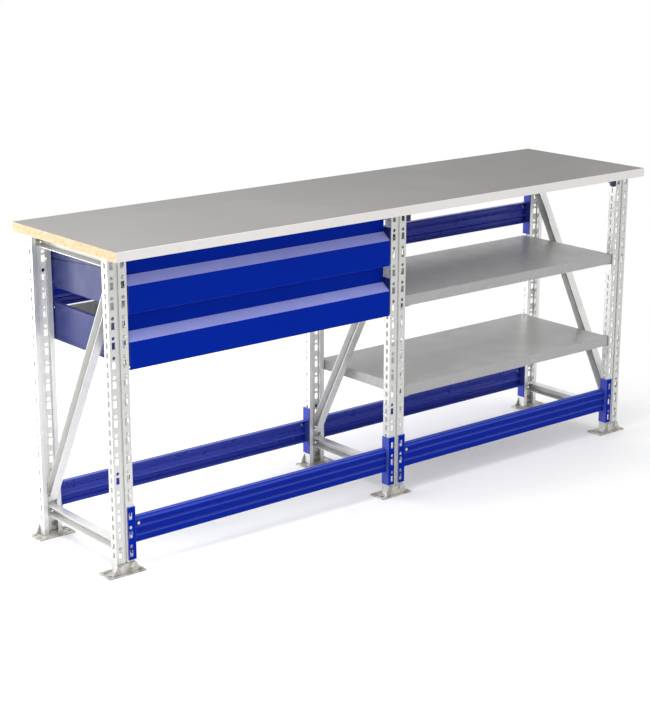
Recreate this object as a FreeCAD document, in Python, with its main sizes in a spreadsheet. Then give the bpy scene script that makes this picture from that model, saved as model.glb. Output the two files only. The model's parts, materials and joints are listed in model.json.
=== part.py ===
"""Workbench with two drawers, two shelves and three perforated end frames.

All lengths are in millimetres. X runs along the length of the bench to the right,
Y runs from the front to the rear, Z runs up. The origin is on the floor under the
middle of the worktop.
"""
import FreeCAD, Part
import os
import re
import Sketcher

SIZES = {
    # worktop
    "end_overhang": 7.5,
    "bench_depth": 490,
    "bench_height": 850,
    "board_thickness": 24,
    "laminate_thickness": 1,
    "edge_strip": 2,
    # end frames
    "frame_spacing": 915,
    "frame_depth": 380,
    "upright_width": 55,
    "upright_depth": 25,
    "upright_wall": 2,
    "upright_lip": 13,
    "groove_width": 6,
    "groove_depth": 3,
    # perforation of the uprights
    "slot_pitch": 50,
    "slot_start": 51,
    "slot_width": 10,
    "slot_height": 18,
    "strip_offset": 16,
    "round_radius": 4.5,
    "round_below_slot": 31,
    "side_slot_width": 7.5,
    "side_slot_height": 14,
    "side_slot_inset": 12.5,
    # cross channels and diagonals
    "brace_height": 27,
    "brace_width": 25,
    "brace_wall": 1.5,
    "brace_end_inset": 8,
    "brace_pin_inset": 19.8,
    "brace_pin_radius": 2.5,
    "brace_overrun": 5.5,
    "low_brace_height": 71.5,
    "top_brace_gap": 2.5,
    "diagonal_low_height": 111.5,
    "diagonal_high_height": 756.5,
    # feet
    "foot_length": 110,
    "foot_depth": 55,
    "foot_thickness": 4,
    "foot_toe": 8,
    "foot_rib": 3,
    "foot_rib_height": 27,
    "foot_rib_base": 82,
    "foot_rib_top": 57,
    "anchor_hole_radius": 4.5,
    "anchor_spacing_along": 88,
    "anchor_spacing_across": 26,
    "bolt_radius": 4,
    "bolt_head_radius": 7,
    "bolt_head_height": 5.3,
    # beams and their end connectors
    "beam_height": 66,
    "beam_flange": 20,
    "beam_wall": 1.5,
    "beam_setback": 5,
    "rib_low": 15.5,
    "rib_high": 38.5,
    "rib_depth": 4.5,
    "beam_shoulder": 58,
    "beam_step": 5,
    "connector_wall": 3,
    "connector_head": 24,
    "connector_front_leg": 19.5,
    "connector_side_leg": 25,
    "connector_foot": 18,
    "beam_in_connector": 41,
    "hook_width": 5,
    "hook_height": 12,
    "hook_reach": 2,
    "lower_beam_slot": 0,
    "upper_beam_clearance": 90,
    "lock_pin_radius": 3.5,
    "lock_pin_head": 2,
    "lock_pin_head_radius": 4.5,
    "lock_pin_inset": 14,
    "lock_pin_height": 50,
    # drawers
    "drawer_front_height": 140,
    "drawer_front_gap": 2,
    "drawer_side_gap": 3,
    "drawer_top_gap": 8,
    "drawer_sheet": 1.5,
    "drawer_face": 71,
    "grip_depth": 28,
    "grip_rise": 21,
    "front_return": 14,
    "tray_height": 84,
    "tray_depth": 305,
    "tray_lift": 12,
    "side_plate_height": 99,
    "side_plate_lift": 6,
    "side_plate_wall": 1.5,
    "side_plate_lip": 11,
    "side_plate_clearance": 0.2,
    "side_plate_end_gap": 2,
    "side_plate_tab": 34,
    "beam_notch_gap": 3,
    "slide_width": 12.7,
    "slide_height": 45,
    "slide_length": 300,
    "slide_wall": 1.2,
    "slide_ball_gap": 2.8,
    "slide_run_gap": 1,
    "fixed_rail_inset": 4,
    "middle_member_inset": 2.4,
    "drawer_rail_inset": 4.8,
    "plate_bolt_edge": 10,
    "plate_bolt_radius": 3,
    "plate_bolt_head_radius": 5,
    "plate_bolt_head": 2.8,
    "plate_nut_radius": 5,
    "plate_nut": 5,
    # shelves
    "shelf_lip": 30,
    "shelf_sheet": 1.5,
    "shelf_end_gap": 2,
    "shelf_setback": 4,
    "shelf_return": 12,
    "low_shelf_height": 320,
    "high_shelf_height": 582,
    "clip_wall": 1.5,
    "clip_height": 30,
    "clip_reach": 20,
    "clip_width": 20,
    # worktop brackets
    "bracket_wall": 3,
    "bracket_reach": 18,
    "bracket_height": 32,
    "bracket_width": 22,
    "bracket_channel_offset": 100,
    "screw_radius": 2.5,
    "screw_length": 16,
    "screw_head_radius": 5,
    "screw_head": 2.5,
}

FRAMES = {"left": -1, "middle": 0, "right": 1}
BAYS = {"left": -1, "right": 0}

# Formulas that more than one piece uses.
UNDERSIDE = "(bench_height - laminate_thickness - board_thickness)"
UPRIGHT_LENGTH = f"({UNDERSIDE} - foot_thickness)"
BENCH_LENGTH = "(2 * frame_spacing + upright_width + 2 * end_overhang)"
BAY_CLEAR = "(frame_spacing - upright_width)"
FRONT_FACE = "(-frame_depth / 2)"
REAR_FACE = "(frame_depth / 2)"
TOP_BRACE_HEIGHT = f"({UNDERSIDE} - top_brace_gap - brace_height / 2)"
DRAWER_WIDTH = f"({BAY_CLEAR} - 2 * drawer_side_gap)"
PLATE_OFFSET = "(connector_wall + side_plate_clearance)"
PLATE_FACE = f"({BAY_CLEAR} / 2 - {PLATE_OFFSET} - side_plate_wall)"
TRAY_WIDTH = f"(2 * {PLATE_FACE} - 2 * slide_width)"
TRAY_FRONT = f"({FRONT_FACE} + grip_depth + drawer_sheet)"
BAY_CENTRE = {-1: "(-frame_spacing / 2)", 0: "(frame_spacing / 2)"}

document = FreeCAD.newDocument("Workbench")
sheet = document.addObject("Spreadsheet::Sheet", "Sizes")
sub_parts = []


def fill_sheet():
    """Writes every driving size into the sheet, with its alias."""
    for row, (alias, value) in enumerate(SIZES.items(), start=1):
        sheet.set(f"A{row}", alias)
        sheet.set(f"B{row}", str(value))
        sheet.setAlias(f"B{row}", alias)
    document.recompute()


def formula(text):
    """Turns the aliases in a formula into references to the sheet."""
    return re.sub(r"\b([a-z]+(?:_[a-z]+)+)\b", r"Sizes.\1", text)


def value(text):
    """The present value of a formula."""
    return float(sheet.evalExpression(formula(text).replace("Sizes.", "")))


def bind(item, name, text):
    item.setExpression(name, formula(text))


def place(item, x, y, z, turn=0, axis=(0, 0, 1)):
    """Places an object at three formulas, turned by a fixed angle."""
    turned = FreeCAD.Rotation(FreeCAD.Vector(*axis), turn)
    item.Placement = FreeCAD.Placement(FreeCAD.Vector(0, 0, 0), turned)
    for letter, text in zip("xyz", (x, y, z)):
        bind(item, f".Placement.Base.{letter}", text)


def keep(item, node):
    """Registers an object as the sub-part of one node."""
    item.Label = node
    sub_parts.append(item)
    return item


def new_body(name):
    return document.addObject("PartDesign::Body", name)


def origin_feature(body, role):
    return next(item for item in body.Origin.OriginFeatures if item.Role == role)


def new_sketch(body, name, plane):
    sketch = body.newObject("Sketcher::SketchObject", name)
    sketch.AttachmentSupport = [(origin_feature(body, plane), "")]
    sketch.MapMode = "FlatFace"
    return sketch


def hold_point(sketch, line, point):
    """Holds the start of a line, or the centre of a circle, at two formulas."""
    vertex = 1 if sketch.Geometry[line].TypeId == "Part::GeomLineSegment" else 3
    for text, kind, axis in zip(point, ("DistanceX", "DistanceY"), (-2, -1)):
        if text == "0":
            sketch.addConstraint(Sketcher.Constraint("PointOnObject", line, vertex, axis))
            continue
        held = Sketcher.Constraint(kind, -1, 1, line, vertex, value(text))
        index = sketch.addConstraint(held)
        bind(sketch, f"Constraints[{index}]", text)


def outline(sketch, points):
    """A closed outline through points that are pairs of formulas."""
    first = sketch.GeometryCount
    count = len(points)
    spots = [FreeCAD.Vector(value(x), value(y), 0) for x, y in points]
    for index in range(count):
        edge = Part.LineSegment(spots[index], spots[(index + 1) % count])
        sketch.addGeometry(edge, False)
    for index in range(count):
        following = first + (index + 1) % count
        sketch.addConstraint(Sketcher.Constraint("Coincident", first + index, 2, following, 1))
    for index, point in enumerate(points):
        hold_point(sketch, first + index, point)


def rectangle(sketch, centre_x, centre_y, width, height):
    left = f"({centre_x}) - ({width}) / 2"
    right = f"({centre_x}) + ({width}) / 2"
    low = f"({centre_y}) - ({height}) / 2"
    high = f"({centre_y}) + ({height}) / 2"
    outline(sketch, [(left, low), (right, low), (right, high), (left, high)])


def circle(sketch, centre_x, centre_y, radius):
    centre = FreeCAD.Vector(value(centre_x), value(centre_y), 0)
    ring = Part.Circle(centre, FreeCAD.Vector(0, 0, 1), value(radius))
    index = sketch.addGeometry(ring, False)
    held = sketch.addConstraint(Sketcher.Constraint("Radius", index, value(radius)))
    bind(sketch, f"Constraints[{held}]", radius)
    hold_point(sketch, index, (centre_x, centre_y))


def pad(body, sketch, length, backwards=False):
    feature = body.newObject("PartDesign::Pad", sketch.Name + "_pad")
    feature.Profile = sketch
    feature.Reversed = backwards
    bind(feature, "Length", length)
    document.recompute()
    return feature


def pocket(body, sketch, length, both_ways=False, backwards=False):
    """Cuts a sketch into a body and makes sure that it removes material."""
    before = body.Shape.Volume
    feature = body.newObject("PartDesign::Pocket", sketch.Name + "_pocket")
    feature.Profile = sketch
    feature.Reversed = backwards
    if both_ways:
        feature.SideType = "Symmetric"
    bind(feature, "Length", length)
    document.recompute()
    if not body.Shape.Volume < before:
        raise RuntimeError(f"{feature.Name} cuts nothing")
    return feature


def repeat_up(body, feature, pitch, count):
    """Repeats a pocket up the body's own Z axis."""
    pattern = body.newObject("PartDesign::LinearPattern", feature.Name + "_row")
    pattern.Originals = [feature]
    pattern.Direction = (origin_feature(body, "Z_Axis"), [""])
    pattern.Mode = "Spacing"
    bind(pattern, "Offset", pitch)
    bind(pattern, "Occurrences", count)
    body.Tip = pattern
    document.recompute()


def box(name, size, at):
    """A box with its lowest corner at three formulas."""
    item = document.addObject("Part::Box", name)
    for side, text in zip(("Length", "Width", "Height"), size):
        bind(item, side, text)
    place(item, *at)
    return item


def rod(name, radius, length, at, axis="z"):
    """A cylinder that starts at a point and runs along one axis."""
    item = document.addObject("Part::Cylinder", name)
    bind(item, "Radius", radius)
    bind(item, "Height", length)
    turns = {"x": (90, (0, 1, 0)), "y": (-90, (1, 0, 0)), "z": (0, (0, 0, 1))}
    turn, about = turns[axis]
    place(item, *at, turn=turn, axis=about)
    return item


def hexagon(name, radius, height, at, axis="z"):
    """A hexagonal prism for bolt heads and nuts."""
    item = document.addObject("Part::Prism", name)
    item.Polygon = 6
    bind(item, "Circumradius", radius)
    bind(item, "Height", height)
    turns = {"x": (90, (0, 1, 0)), "y": (-90, (1, 0, 0)), "z": (0, (0, 0, 1))}
    turn, about = turns[axis]
    place(item, *at, turn=turn, axis=about)
    return item


def fuse(name, items):
    item = document.addObject("Part::MultiFuse", name)
    item.Shapes = items
    item.Refine = True
    return item


def group(name, items):
    """Several separate solids that share one node."""
    item = document.addObject("Part::Compound", name)
    item.Links = items
    return item


def cut(name, base, *tools):
    """Takes one or more tools out of an object."""
    item = document.addObject("Part::Cut", name)
    item.Base = base
    item.Tool = tools[0] if len(tools) == 1 else group(name + "_tools", list(tools))
    return item


def frame_x(side):
    return f"({side} * frame_spacing)"


def slot_height_at(step):
    """Height above the floor of a rectangular slot of the uprights."""
    return f"(foot_thickness + slot_start + ({step}) * slot_pitch)"


# ---------------------------------------------------------------- worktop

def make_worktop():
    """Raw board, laminate on its upper face and an edging strip along the front."""
    depth = "bench_depth - edge_strip"
    body = new_body("board")
    sketch = new_sketch(body, "board_outline", "XY_Plane")
    rectangle(sketch, "0", "edge_strip / 2", BENCH_LENGTH, depth)
    pad(body, sketch, "board_thickness")
    pilots = new_sketch(body, "board_pilots", "XY_Plane")
    for x, y in bracket_screws():
        circle(pilots, x, y, "screw_radius")
    pocket(body, pilots, "2 * screw_length", both_ways=True)
    place(body, "0", "0", UNDERSIDE)
    keep(body, "worktop_board")
    laminate = box("laminate", (BENCH_LENGTH, depth, "laminate_thickness"),
                   (f"-{BENCH_LENGTH} / 2", "edge_strip - bench_depth / 2",
                    "bench_height - laminate_thickness"))
    keep(laminate, "worktop_laminate")
    strip = box("strip", (BENCH_LENGTH, "edge_strip", "board_thickness + laminate_thickness"),
                (f"-{BENCH_LENGTH} / 2", "-bench_depth / 2", UNDERSIDE))
    keep(strip, "worktop_edge_strip")


def bracket_corners():
    """Inner corner of each worktop bracket: x, y, and the way its foot points."""
    channel = "(brace_width / 2)"
    flange = "(upright_width / 2)"
    corners = []
    for sign in (-1, 1):
        on_channel = f"({sign} * bracket_channel_offset)"
        on_upright = f"({sign} * (frame_depth / 2 - side_slot_inset))"
        corners.append((f"({frame_x(-1)} + {channel})", on_channel, 1))
        corners.append((f"({frame_x(0)} + {flange})", on_upright, 1))
        corners.append((f"({frame_x(1)} - {flange})", on_upright, -1))
    return corners


def bracket_screws():
    """Centre of the wood screw of each worktop bracket."""
    across = "(bracket_wall + bracket_reach) / 2"
    return [(f"({x} + {way} * {across})", y) for x, y, way in bracket_corners()]


def make_worktop_brackets():
    """Three-walled corner brackets under the worktop, each with one wood screw."""
    brackets = []
    screws = []
    for index, (x, y, way) in enumerate(bracket_corners()):
        leg_x = x if way > 0 else f"({x} - bracket_wall)"
        foot_x = x if way > 0 else f"({x} - bracket_reach)"
        low_y = f"({y} - bracket_width / 2)"
        leg = box(f"bracket_leg_{index}", ("bracket_wall", "bracket_width", "bracket_height"),
                  (leg_x, low_y, f"{UNDERSIDE} - bracket_height"))
        foot = box(f"bracket_foot_{index}", ("bracket_reach", "bracket_width", "bracket_wall"),
                   (foot_x, low_y, f"{UNDERSIDE} - bracket_wall"))
        gusset = box(f"bracket_gusset_{index}", ("bracket_reach", "bracket_wall", "bracket_height"),
                     (foot_x, low_y, f"{UNDERSIDE} - bracket_height"))
        screw_x, screw_y = bracket_screws()[index]
        hole = rod(f"bracket_hole_{index}", "screw_radius", "3 * bracket_wall",
                   (screw_x, screw_y, f"{UNDERSIDE} - 2 * bracket_wall"))
        whole = fuse(f"bracket_{index}", [leg, foot, gusset])
        brackets.append(cut(f"drilled_bracket_{index}", whole, hole))
        shank = rod(f"screw_shank_{index}", "screw_radius", "screw_length + bracket_wall",
                    (screw_x, screw_y, f"{UNDERSIDE} - bracket_wall"))
        head = rod(f"screw_head_{index}", "screw_head_radius", "screw_head",
                   (screw_x, screw_y, f"{UNDERSIDE} - bracket_wall - screw_head"))
        screws.append(fuse(f"screw_{index}", [shank, head]))
    keep(group("brackets", brackets), "worktop_brackets")
    keep(group("screws", screws), "worktop_screws")


# ------------------------------------------------------------- end frames

def upright_outline(sketch):
    """Channel with a central groove in its web and two return lips."""
    half = "upright_width / 2"
    wall = "upright_wall"
    deep = "upright_depth"
    groove = "groove_width / 2"
    right = [
        (groove, "groove_depth"),
        (groove, "0"),
        (half, "0"),
        (half, deep),
        (f"{half} - upright_lip", deep),
        (f"{half} - upright_lip", f"{deep} - {wall}"),
        (f"{half} - {wall}", f"{deep} - {wall}"),
        (f"{half} - {wall}", wall),
        (f"{groove} + {wall}", wall),
        (f"{groove} + {wall}", f"groove_depth + {wall}"),
    ]
    left = [(f"-({x})", y) for x, y in reversed(right)]
    outline(sketch, right + left)


def make_upright(side, row, diagonal_at_top):
    """One perforated upright; its web faces away from the bench."""
    name = f"{side}_{row}_upright"
    body = new_body(name + "_body")
    section = new_sketch(body, name + "_section", "XY_Plane")
    upright_outline(section)
    pad(body, section, UPRIGHT_LENGTH)

    slots = new_sketch(body, name + "_slots", "XZ_Plane")
    for strip in ("-strip_offset", "strip_offset"):
        rectangle(slots, strip, "slot_start", "slot_width", "slot_height")
    cut_slots = pocket(body, slots, "upright_wall")
    repeat_up(body, cut_slots, "slot_pitch",
              f"floor(({UPRIGHT_LENGTH} - slot_start - slot_height) / slot_pitch) + 1")

    rounds = new_sketch(body, name + "_rounds", "XZ_Plane")
    for strip in ("-strip_offset", "strip_offset"):
        circle(rounds, strip, "slot_start - round_below_slot", "round_radius")
    cut_rounds = pocket(body, rounds, "upright_wall")
    first_round = "(slot_start - round_below_slot)"
    repeat_up(body, cut_rounds, "slot_pitch",
              f"floor(({UPRIGHT_LENGTH} - {first_round} - slot_width) / slot_pitch) + 1")

    side_slots = new_sketch(body, name + "_side_slots", "YZ_Plane")
    rectangle(side_slots, "side_slot_inset", "slot_start", "side_slot_width", "side_slot_height")
    cut_sides = pocket(body, side_slots, "2 * upright_width", both_ways=True)
    spare = f"({UPRIGHT_LENGTH} - slot_start - side_slot_height)"
    repeat_up(body, cut_sides, "slot_pitch / 2", f"floor({spare} / (slot_pitch / 2)) + 1")

    pins = new_sketch(body, name + "_pin_holes", "YZ_Plane")
    diagonal = "diagonal_high_height" if diagonal_at_top else "diagonal_low_height"
    for height in ("low_brace_height", TOP_BRACE_HEIGHT, diagonal):
        circle(pins, "brace_pin_inset", f"{height} - foot_thickness", "brace_pin_radius")
    pocket(body, pins, "2 * upright_width", both_ways=True)

    front = row == "front"
    place(body, frame_x(FRAMES[side]), FRONT_FACE if front else REAR_FACE,
          "foot_thickness", 0 if front else 180)
    return keep(body, name)


def brace_section(body, name):
    """Plain channel, open towards the left."""
    sketch = new_sketch(body, name + "_section", "XZ_Plane")
    wide = "brace_width / 2"
    tall = "brace_height / 2"
    wall = "brace_wall"
    outline(sketch, [
        (f"-{wide}", f"-{tall}"),
        (wide, f"-{tall}"),
        (wide, tall),
        (f"-{wide}", tall),
        (f"-{wide}", f"{tall} - {wall}"),
        (f"{wide} - {wall}", f"{tall} - {wall}"),
        (f"{wide} - {wall}", f"-{tall} + {wall}"),
        (f"-{wide}", f"-{tall} + {wall}"),
    ])
    return sketch


def make_cross_channel(side, level, height):
    """Level channel between the front and rear uprights of one frame."""
    name = f"{side}_{level}_cross_channel"
    body = new_body(name + "_body")
    length = "(frame_depth - 2 * brace_end_inset)"
    pad(body, brace_section(body, name), length, backwards=True)
    pins = new_sketch(body, name + "_pin_holes", "YZ_Plane")
    near = "(brace_pin_inset - brace_end_inset)"
    for along in (near, f"{length} - {near}"):
        circle(pins, along, "0", "brace_pin_radius")
    pocket(body, pins, "2 * brace_width", both_ways=True)
    place(body, frame_x(FRAMES[side]), f"{FRONT_FACE} + brace_end_inset", height)
    return keep(body, name)


DIAGONAL_RUN = "(frame_depth - 2 * brace_pin_inset)"
DIAGONAL_RISE = "(diagonal_high_height - diagonal_low_height)"
DIAGONAL_SPAN = f"sqrt({DIAGONAL_RUN} ^ 2 + {DIAGONAL_RISE} ^ 2)"


def make_diagonal(side):
    """Slanting channel; the right frame's leans the other way."""
    name = f"{side}_diagonal"
    body = new_body(name + "_body")
    pad(body, brace_section(body, name), f"{DIAGONAL_SPAN} + 2 * brace_overrun", backwards=True)
    pins = new_sketch(body, name + "_pin_holes", "YZ_Plane")
    for along in ("brace_overrun", f"brace_overrun + {DIAGONAL_SPAN}"):
        circle(pins, along, "0", "brace_pin_radius")
    pocket(body, pins, "2 * brace_width", both_ways=True)
    way = 1 if side == "right" else -1
    foot_y = f"({-way} * {DIAGONAL_RUN} / 2)"
    start_y = f"{foot_y} - {way} * brace_overrun * {DIAGONAL_RUN} / {DIAGONAL_SPAN}"
    start_z = f"diagonal_low_height - brace_overrun * {DIAGONAL_RISE} / {DIAGONAL_SPAN}"
    place(body, frame_x(FRAMES[side]), start_y, start_z, 90, (1, 0, 0))
    lean = f"atan({DIAGONAL_RISE} / {DIAGONAL_RUN})"
    bind(body, ".Placement.Rotation.Angle", lean if way > 0 else f"180 deg - {lean}")
    return keep(body, name)


def make_brace_pins():
    """Flush pins that hold the channels and diagonals in the uprights."""
    pins = []
    for side, place_x in FRAMES.items():
        for row, sign in (("front", -1), ("rear", 1)):
            high = diagonal_is_high(side, row)
            diagonal = "diagonal_high_height" if high else "diagonal_low_height"
            for index, height in enumerate(("low_brace_height", TOP_BRACE_HEIGHT, diagonal)):
                pins.append(rod(
                    f"{side}_{row}_pin_{index}", "brace_pin_radius", "upright_width",
                    (f"{frame_x(place_x)} - upright_width / 2",
                     f"{sign} * (frame_depth / 2 - brace_pin_inset)", height), "x"))
    keep(group("brace_pin_set", pins), "brace_pins")


def diagonal_is_high(side, row):
    """Whether the diagonal meets this upright at its upper end."""
    return (row == "front") != (side == "right")


FOOT_BOLT_HEIGHT = "(foot_thickness + slot_start - round_below_slot)"


def make_foot(side, row):
    """Base plate with four anchor holes and a plate bolted to the upright."""
    name = f"{side}_{row}_foot"
    body = new_body(name + "_body")
    base = new_sketch(body, name + "_base", "XY_Plane")
    middle = "(foot_depth / 2 - foot_toe)"
    rectangle(base, "0", middle, "foot_length", "foot_depth")
    for x in ("-anchor_spacing_along / 2", "anchor_spacing_along / 2"):
        for y in ("-anchor_spacing_across / 2", "anchor_spacing_across / 2"):
            circle(base, x, f"{middle} + {y}", "anchor_hole_radius")
    pad(body, base, "foot_thickness")
    rib = new_sketch(body, name + "_rib", "XZ_Plane")
    top = "foot_thickness + foot_rib_height"
    outline(rib, [
        ("-foot_rib_base / 2", "foot_thickness / 2"),
        ("foot_rib_base / 2", "foot_thickness / 2"),
        ("foot_rib_base / 2", "foot_thickness"),
        ("foot_rib_top / 2", top),
        ("-foot_rib_top / 2", top),
        ("-foot_rib_base / 2", "foot_thickness"),
    ])
    for x in ("-strip_offset", "strip_offset"):
        circle(rib, x, FOOT_BOLT_HEIGHT, "bolt_radius")
    pad(body, rib, "foot_rib")
    front = row == "front"
    place(body, frame_x(FRAMES[side]), FRONT_FACE if front else REAR_FACE, "0", 0 if front else 180)
    return keep(body, name)


def make_foot_bolts():
    """Two bolts with nuts through each foot's plate and the upright's web."""
    bolts = []
    for side, place_x in FRAMES.items():
        for row, sign in (("front", -1), ("rear", 1)):
            for strip in (-1, 1):
                name = f"{side}_{row}_bolt_{'a' if strip < 0 else 'b'}"
                x = f"{frame_x(place_x)} + {strip} * strip_offset"
                outer = "(frame_depth / 2 + foot_rib)"
                inner = "(frame_depth / 2 - upright_wall)"
                if sign < 0:
                    head_y = f"-{outer} - bolt_head_height"
                    shank_y = f"-{outer}"
                    nut_y = f"-{inner}"
                else:
                    head_y = outer
                    shank_y = f"{inner} - bolt_head_height"
                    nut_y = f"{inner} - bolt_head_height"
                head = hexagon(name + "_head", "bolt_head_radius", "bolt_head_height",
                               (x, head_y, FOOT_BOLT_HEIGHT), "y")
                shank = rod(name + "_shank", "bolt_radius",
                            "foot_rib + upright_wall + bolt_head_height",
                            (x, shank_y, FOOT_BOLT_HEIGHT), "y")
                nut = hexagon(name + "_nut", "bolt_head_radius", "bolt_head_height",
                              (x, nut_y, FOOT_BOLT_HEIGHT), "y")
                bolts.append(fuse(name, [head, shank, nut]))
    keep(group("foot_bolt_set", bolts), "foot_bolts")


def make_frames():
    for side in FRAMES:
        for row in ("front", "rear"):
            make_upright(side, row, diagonal_is_high(side, row))
            make_foot(side, row)
        make_cross_channel(side, "lower", "low_brace_height")
        make_cross_channel(side, "upper", TOP_BRACE_HEIGHT)
        make_diagonal(side)
    make_brace_pins()
    make_foot_bolts()


# ------------------------------------------------------------------ beams

BEAM_LENGTH = f"({BAY_CLEAR} - 2 * connector_wall)"
FOLD_ANGLE = "45 deg"
CONNECTOR_HOOKS = 3


def beam_outline(sketch):
    """Open section: ribbed web outside, flanges towards the inside of the bench."""
    wall = "beam_wall"
    near = f"{wall} * tan({FOLD_ANGLE} / 2)"
    apex = f"rib_depth + {wall} / cos({FOLD_ANGLE})"
    outside = [("beam_flange", "0"), ("0", "0")]
    inside = [("beam_flange", wall), (wall, wall)]
    for rib in ("rib_low", "rib_high"):
        outside += [("0", rib), ("rib_depth", f"{rib} + rib_depth"), ("0", f"{rib} + 2 * rib_depth")]
        inside += [(wall, f"{rib} - {near}"), (apex, f"{rib} + rib_depth"),
                   (wall, f"{rib} + 2 * rib_depth + {near}")]
    outside += [("0", "beam_shoulder"), ("beam_step", "beam_shoulder + beam_step"),
                ("beam_step", "beam_height"), ("beam_flange", "beam_height")]
    inside += [(wall, f"beam_shoulder - {near}"),
               (f"beam_step + {wall}", f"beam_shoulder + beam_step - {near}"),
               (f"beam_step + {wall}", f"beam_height - {wall}"),
               ("beam_flange", f"beam_height - {wall}")]
    outline(sketch, outside + list(reversed(inside)))


CONNECTOR_HEIGHT = f"(connector_foot + {CONNECTOR_HOOKS - 1} * slot_pitch + connector_head)"
UPPER_BEAM_SLOT = (f"floor(({UNDERSIDE} - upper_beam_clearance - {CONNECTOR_HEIGHT} - foot_thickness"
                   " - slot_start + connector_foot) / slot_pitch)")


def connector_base(step):
    """Height of the bottom of an end connector hung on a given slot."""
    return f"({slot_height_at(step)} - connector_foot)"


def make_beam(name, bay, row, step):
    """Ribbed beam between two connectors; the rear ones are turned about."""
    body = new_body(name + "_body")
    section = new_sketch(body, name + "_section", "YZ_Plane")
    beam_outline(section)
    pad(body, section, BEAM_LENGTH)
    pin = new_sketch(body, name + "_pin_hole", "XZ_Plane")
    circle(pin, "lock_pin_inset", "lock_pin_height", "lock_pin_radius")
    pocket(body, pin, "2 * beam_step")
    half = f"({BEAM_LENGTH} / 2)"
    front = row == "front"
    x = f"{BAY_CENTRE[bay]} - {half}" if front else f"{BAY_CENTRE[bay]} + {half}"
    y = f"{FRONT_FACE} + beam_setback" if front else f"{REAR_FACE} - beam_setback"
    place(body, x, y, f"{connector_base(step)} + beam_in_connector", 0 if front else 180)
    return keep(body, name)


def make_connector(name, bay, row, step, end):
    """Angle plate that hooks into the side slots of an upright."""
    body = new_body(name)
    sketch = new_sketch(body, name + "_angle", "XY_Plane")
    wall = "connector_wall"
    outline(sketch, [
        (f"{-end} * connector_front_leg", f"-{wall}"),
        (f"{end} * {wall}", f"-{wall}"),
        (f"{end} * {wall}", "connector_side_leg"),
        ("0", "connector_side_leg"),
        ("0", "0"),
        (f"{-end} * connector_front_leg", "0"),
    ])
    pad(body, sketch, CONNECTOR_HEIGHT)
    windows = new_sketch(body, name + "_windows", "XZ_Plane")
    strip = f"{-end} * (upright_width / 2 - strip_offset)"
    for index in range(CONNECTOR_HOOKS):
        rectangle(windows, strip, f"connector_foot + {index} * slot_pitch",
                  "slot_width", "slot_height")
    for index in range(1, CONNECTOR_HOOKS):
        circle(windows, strip, f"connector_foot + {index} * slot_pitch - round_below_slot",
               "round_radius")
    pocket(body, windows, f"3 * {wall}", both_ways=True)
    hooks = new_sketch(body, name + "_hooks", "YZ_Plane")
    for index in range(CONNECTOR_HOOKS):
        rectangle(hooks, "side_slot_inset", f"connector_foot + {index} * slot_pitch",
                  "hook_width", "hook_height")
    pad(body, hooks, "upright_wall + hook_reach", backwards=end > 0)
    front = row == "front"
    turn = 1 if front else -1
    x = f"{BAY_CENTRE[bay]} - {end * turn} * {BAY_CLEAR} / 2"
    place(body, x, FRONT_FACE if front else REAR_FACE, connector_base(step), 0 if front else 180)
    return body


def make_lock_pin(name, bay, row, step):
    """Round-headed pin through the web of a beam beside its connector."""
    turn = 1 if row == "front" else -1
    x = f"{BAY_CENTRE[bay]} - {turn} * ({BEAM_LENGTH} / 2 - lock_pin_inset)"
    z = f"{connector_base(step)} + beam_in_connector + lock_pin_height"
    face = "(frame_depth / 2 - beam_setback)"
    if turn > 0:
        head_y = f"-{face} - lock_pin_head"
        shank_y = f"-{face}"
    else:
        head_y = face
        shank_y = f"{face} - beam_wall - lock_pin_head"
    shank = rod(name + "_shank", "lock_pin_radius", "beam_wall + lock_pin_head",
                (x, shank_y, z), "y")
    head = rod(name + "_head", "lock_pin_head_radius", "lock_pin_head",
               (x, head_y, z), "y")
    return fuse(name, [shank, head])


def make_beams():
    pins = []
    rows = (("front_lower", "front", "lower_beam_slot"), ("rear_lower", "rear", "lower_beam_slot"),
            ("rear_upper", "rear", UPPER_BEAM_SLOT))
    for bay_name, bay in BAYS.items():
        for level, row, step in rows:
            name = f"{bay_name}_{level}_beam"
            make_beam(name, bay, row, step)
            ends = [make_connector(f"{name}_connector_{tag}", bay, row, step, end)
                    for tag, end in (("a", 1), ("b", -1))]
            keep(group(name + "_connector_pair", ends), name + "_connectors")
            pins.append(make_lock_pin(name + "_lock_pin", bay, row, step))
    keep(group("lock_pin_set", pins), "beam_lock_pins")


# ---------------------------------------------------------------- drawers

DRAWER_BAY = BAY_CENTRE[-1]


def drawer_base(level):
    """Height of the bottom edge of a drawer's front; level 0 is the upper drawer."""
    pitch = "(drawer_front_height + drawer_front_gap)"
    return f"({UNDERSIDE} - drawer_top_gap - drawer_front_height - {level} * {pitch})"


def front_outline(sketch):
    """Folded sheet: bottom return, face, sloping grip, recessed upper part, top return."""
    sheet_wall = "drawer_sheet"
    slope = "(grip_rise / grip_depth)"
    drop = f"{sheet_wall} * sqrt(1 + {slope} ^ 2)"
    back = "grip_depth"
    tall = "drawer_front_height"
    outline(sketch, [
        ("front_return", "0"),
        ("0", "0"),
        ("0", "drawer_face"),
        (back, "drawer_face + grip_rise"),
        (back, tall),
        (f"{back} + front_return", tall),
        (f"{back} + front_return", f"{tall} - {sheet_wall}"),
        (f"{back} + {sheet_wall}", f"{tall} - {sheet_wall}"),
        (f"{back} + {sheet_wall}",
         f"drawer_face + ({back} + {sheet_wall}) * {slope} - {drop}"),
        (sheet_wall, f"drawer_face + {sheet_wall} * {slope} - {drop}"),
        (sheet_wall, sheet_wall),
        ("front_return", sheet_wall),
    ])


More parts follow.
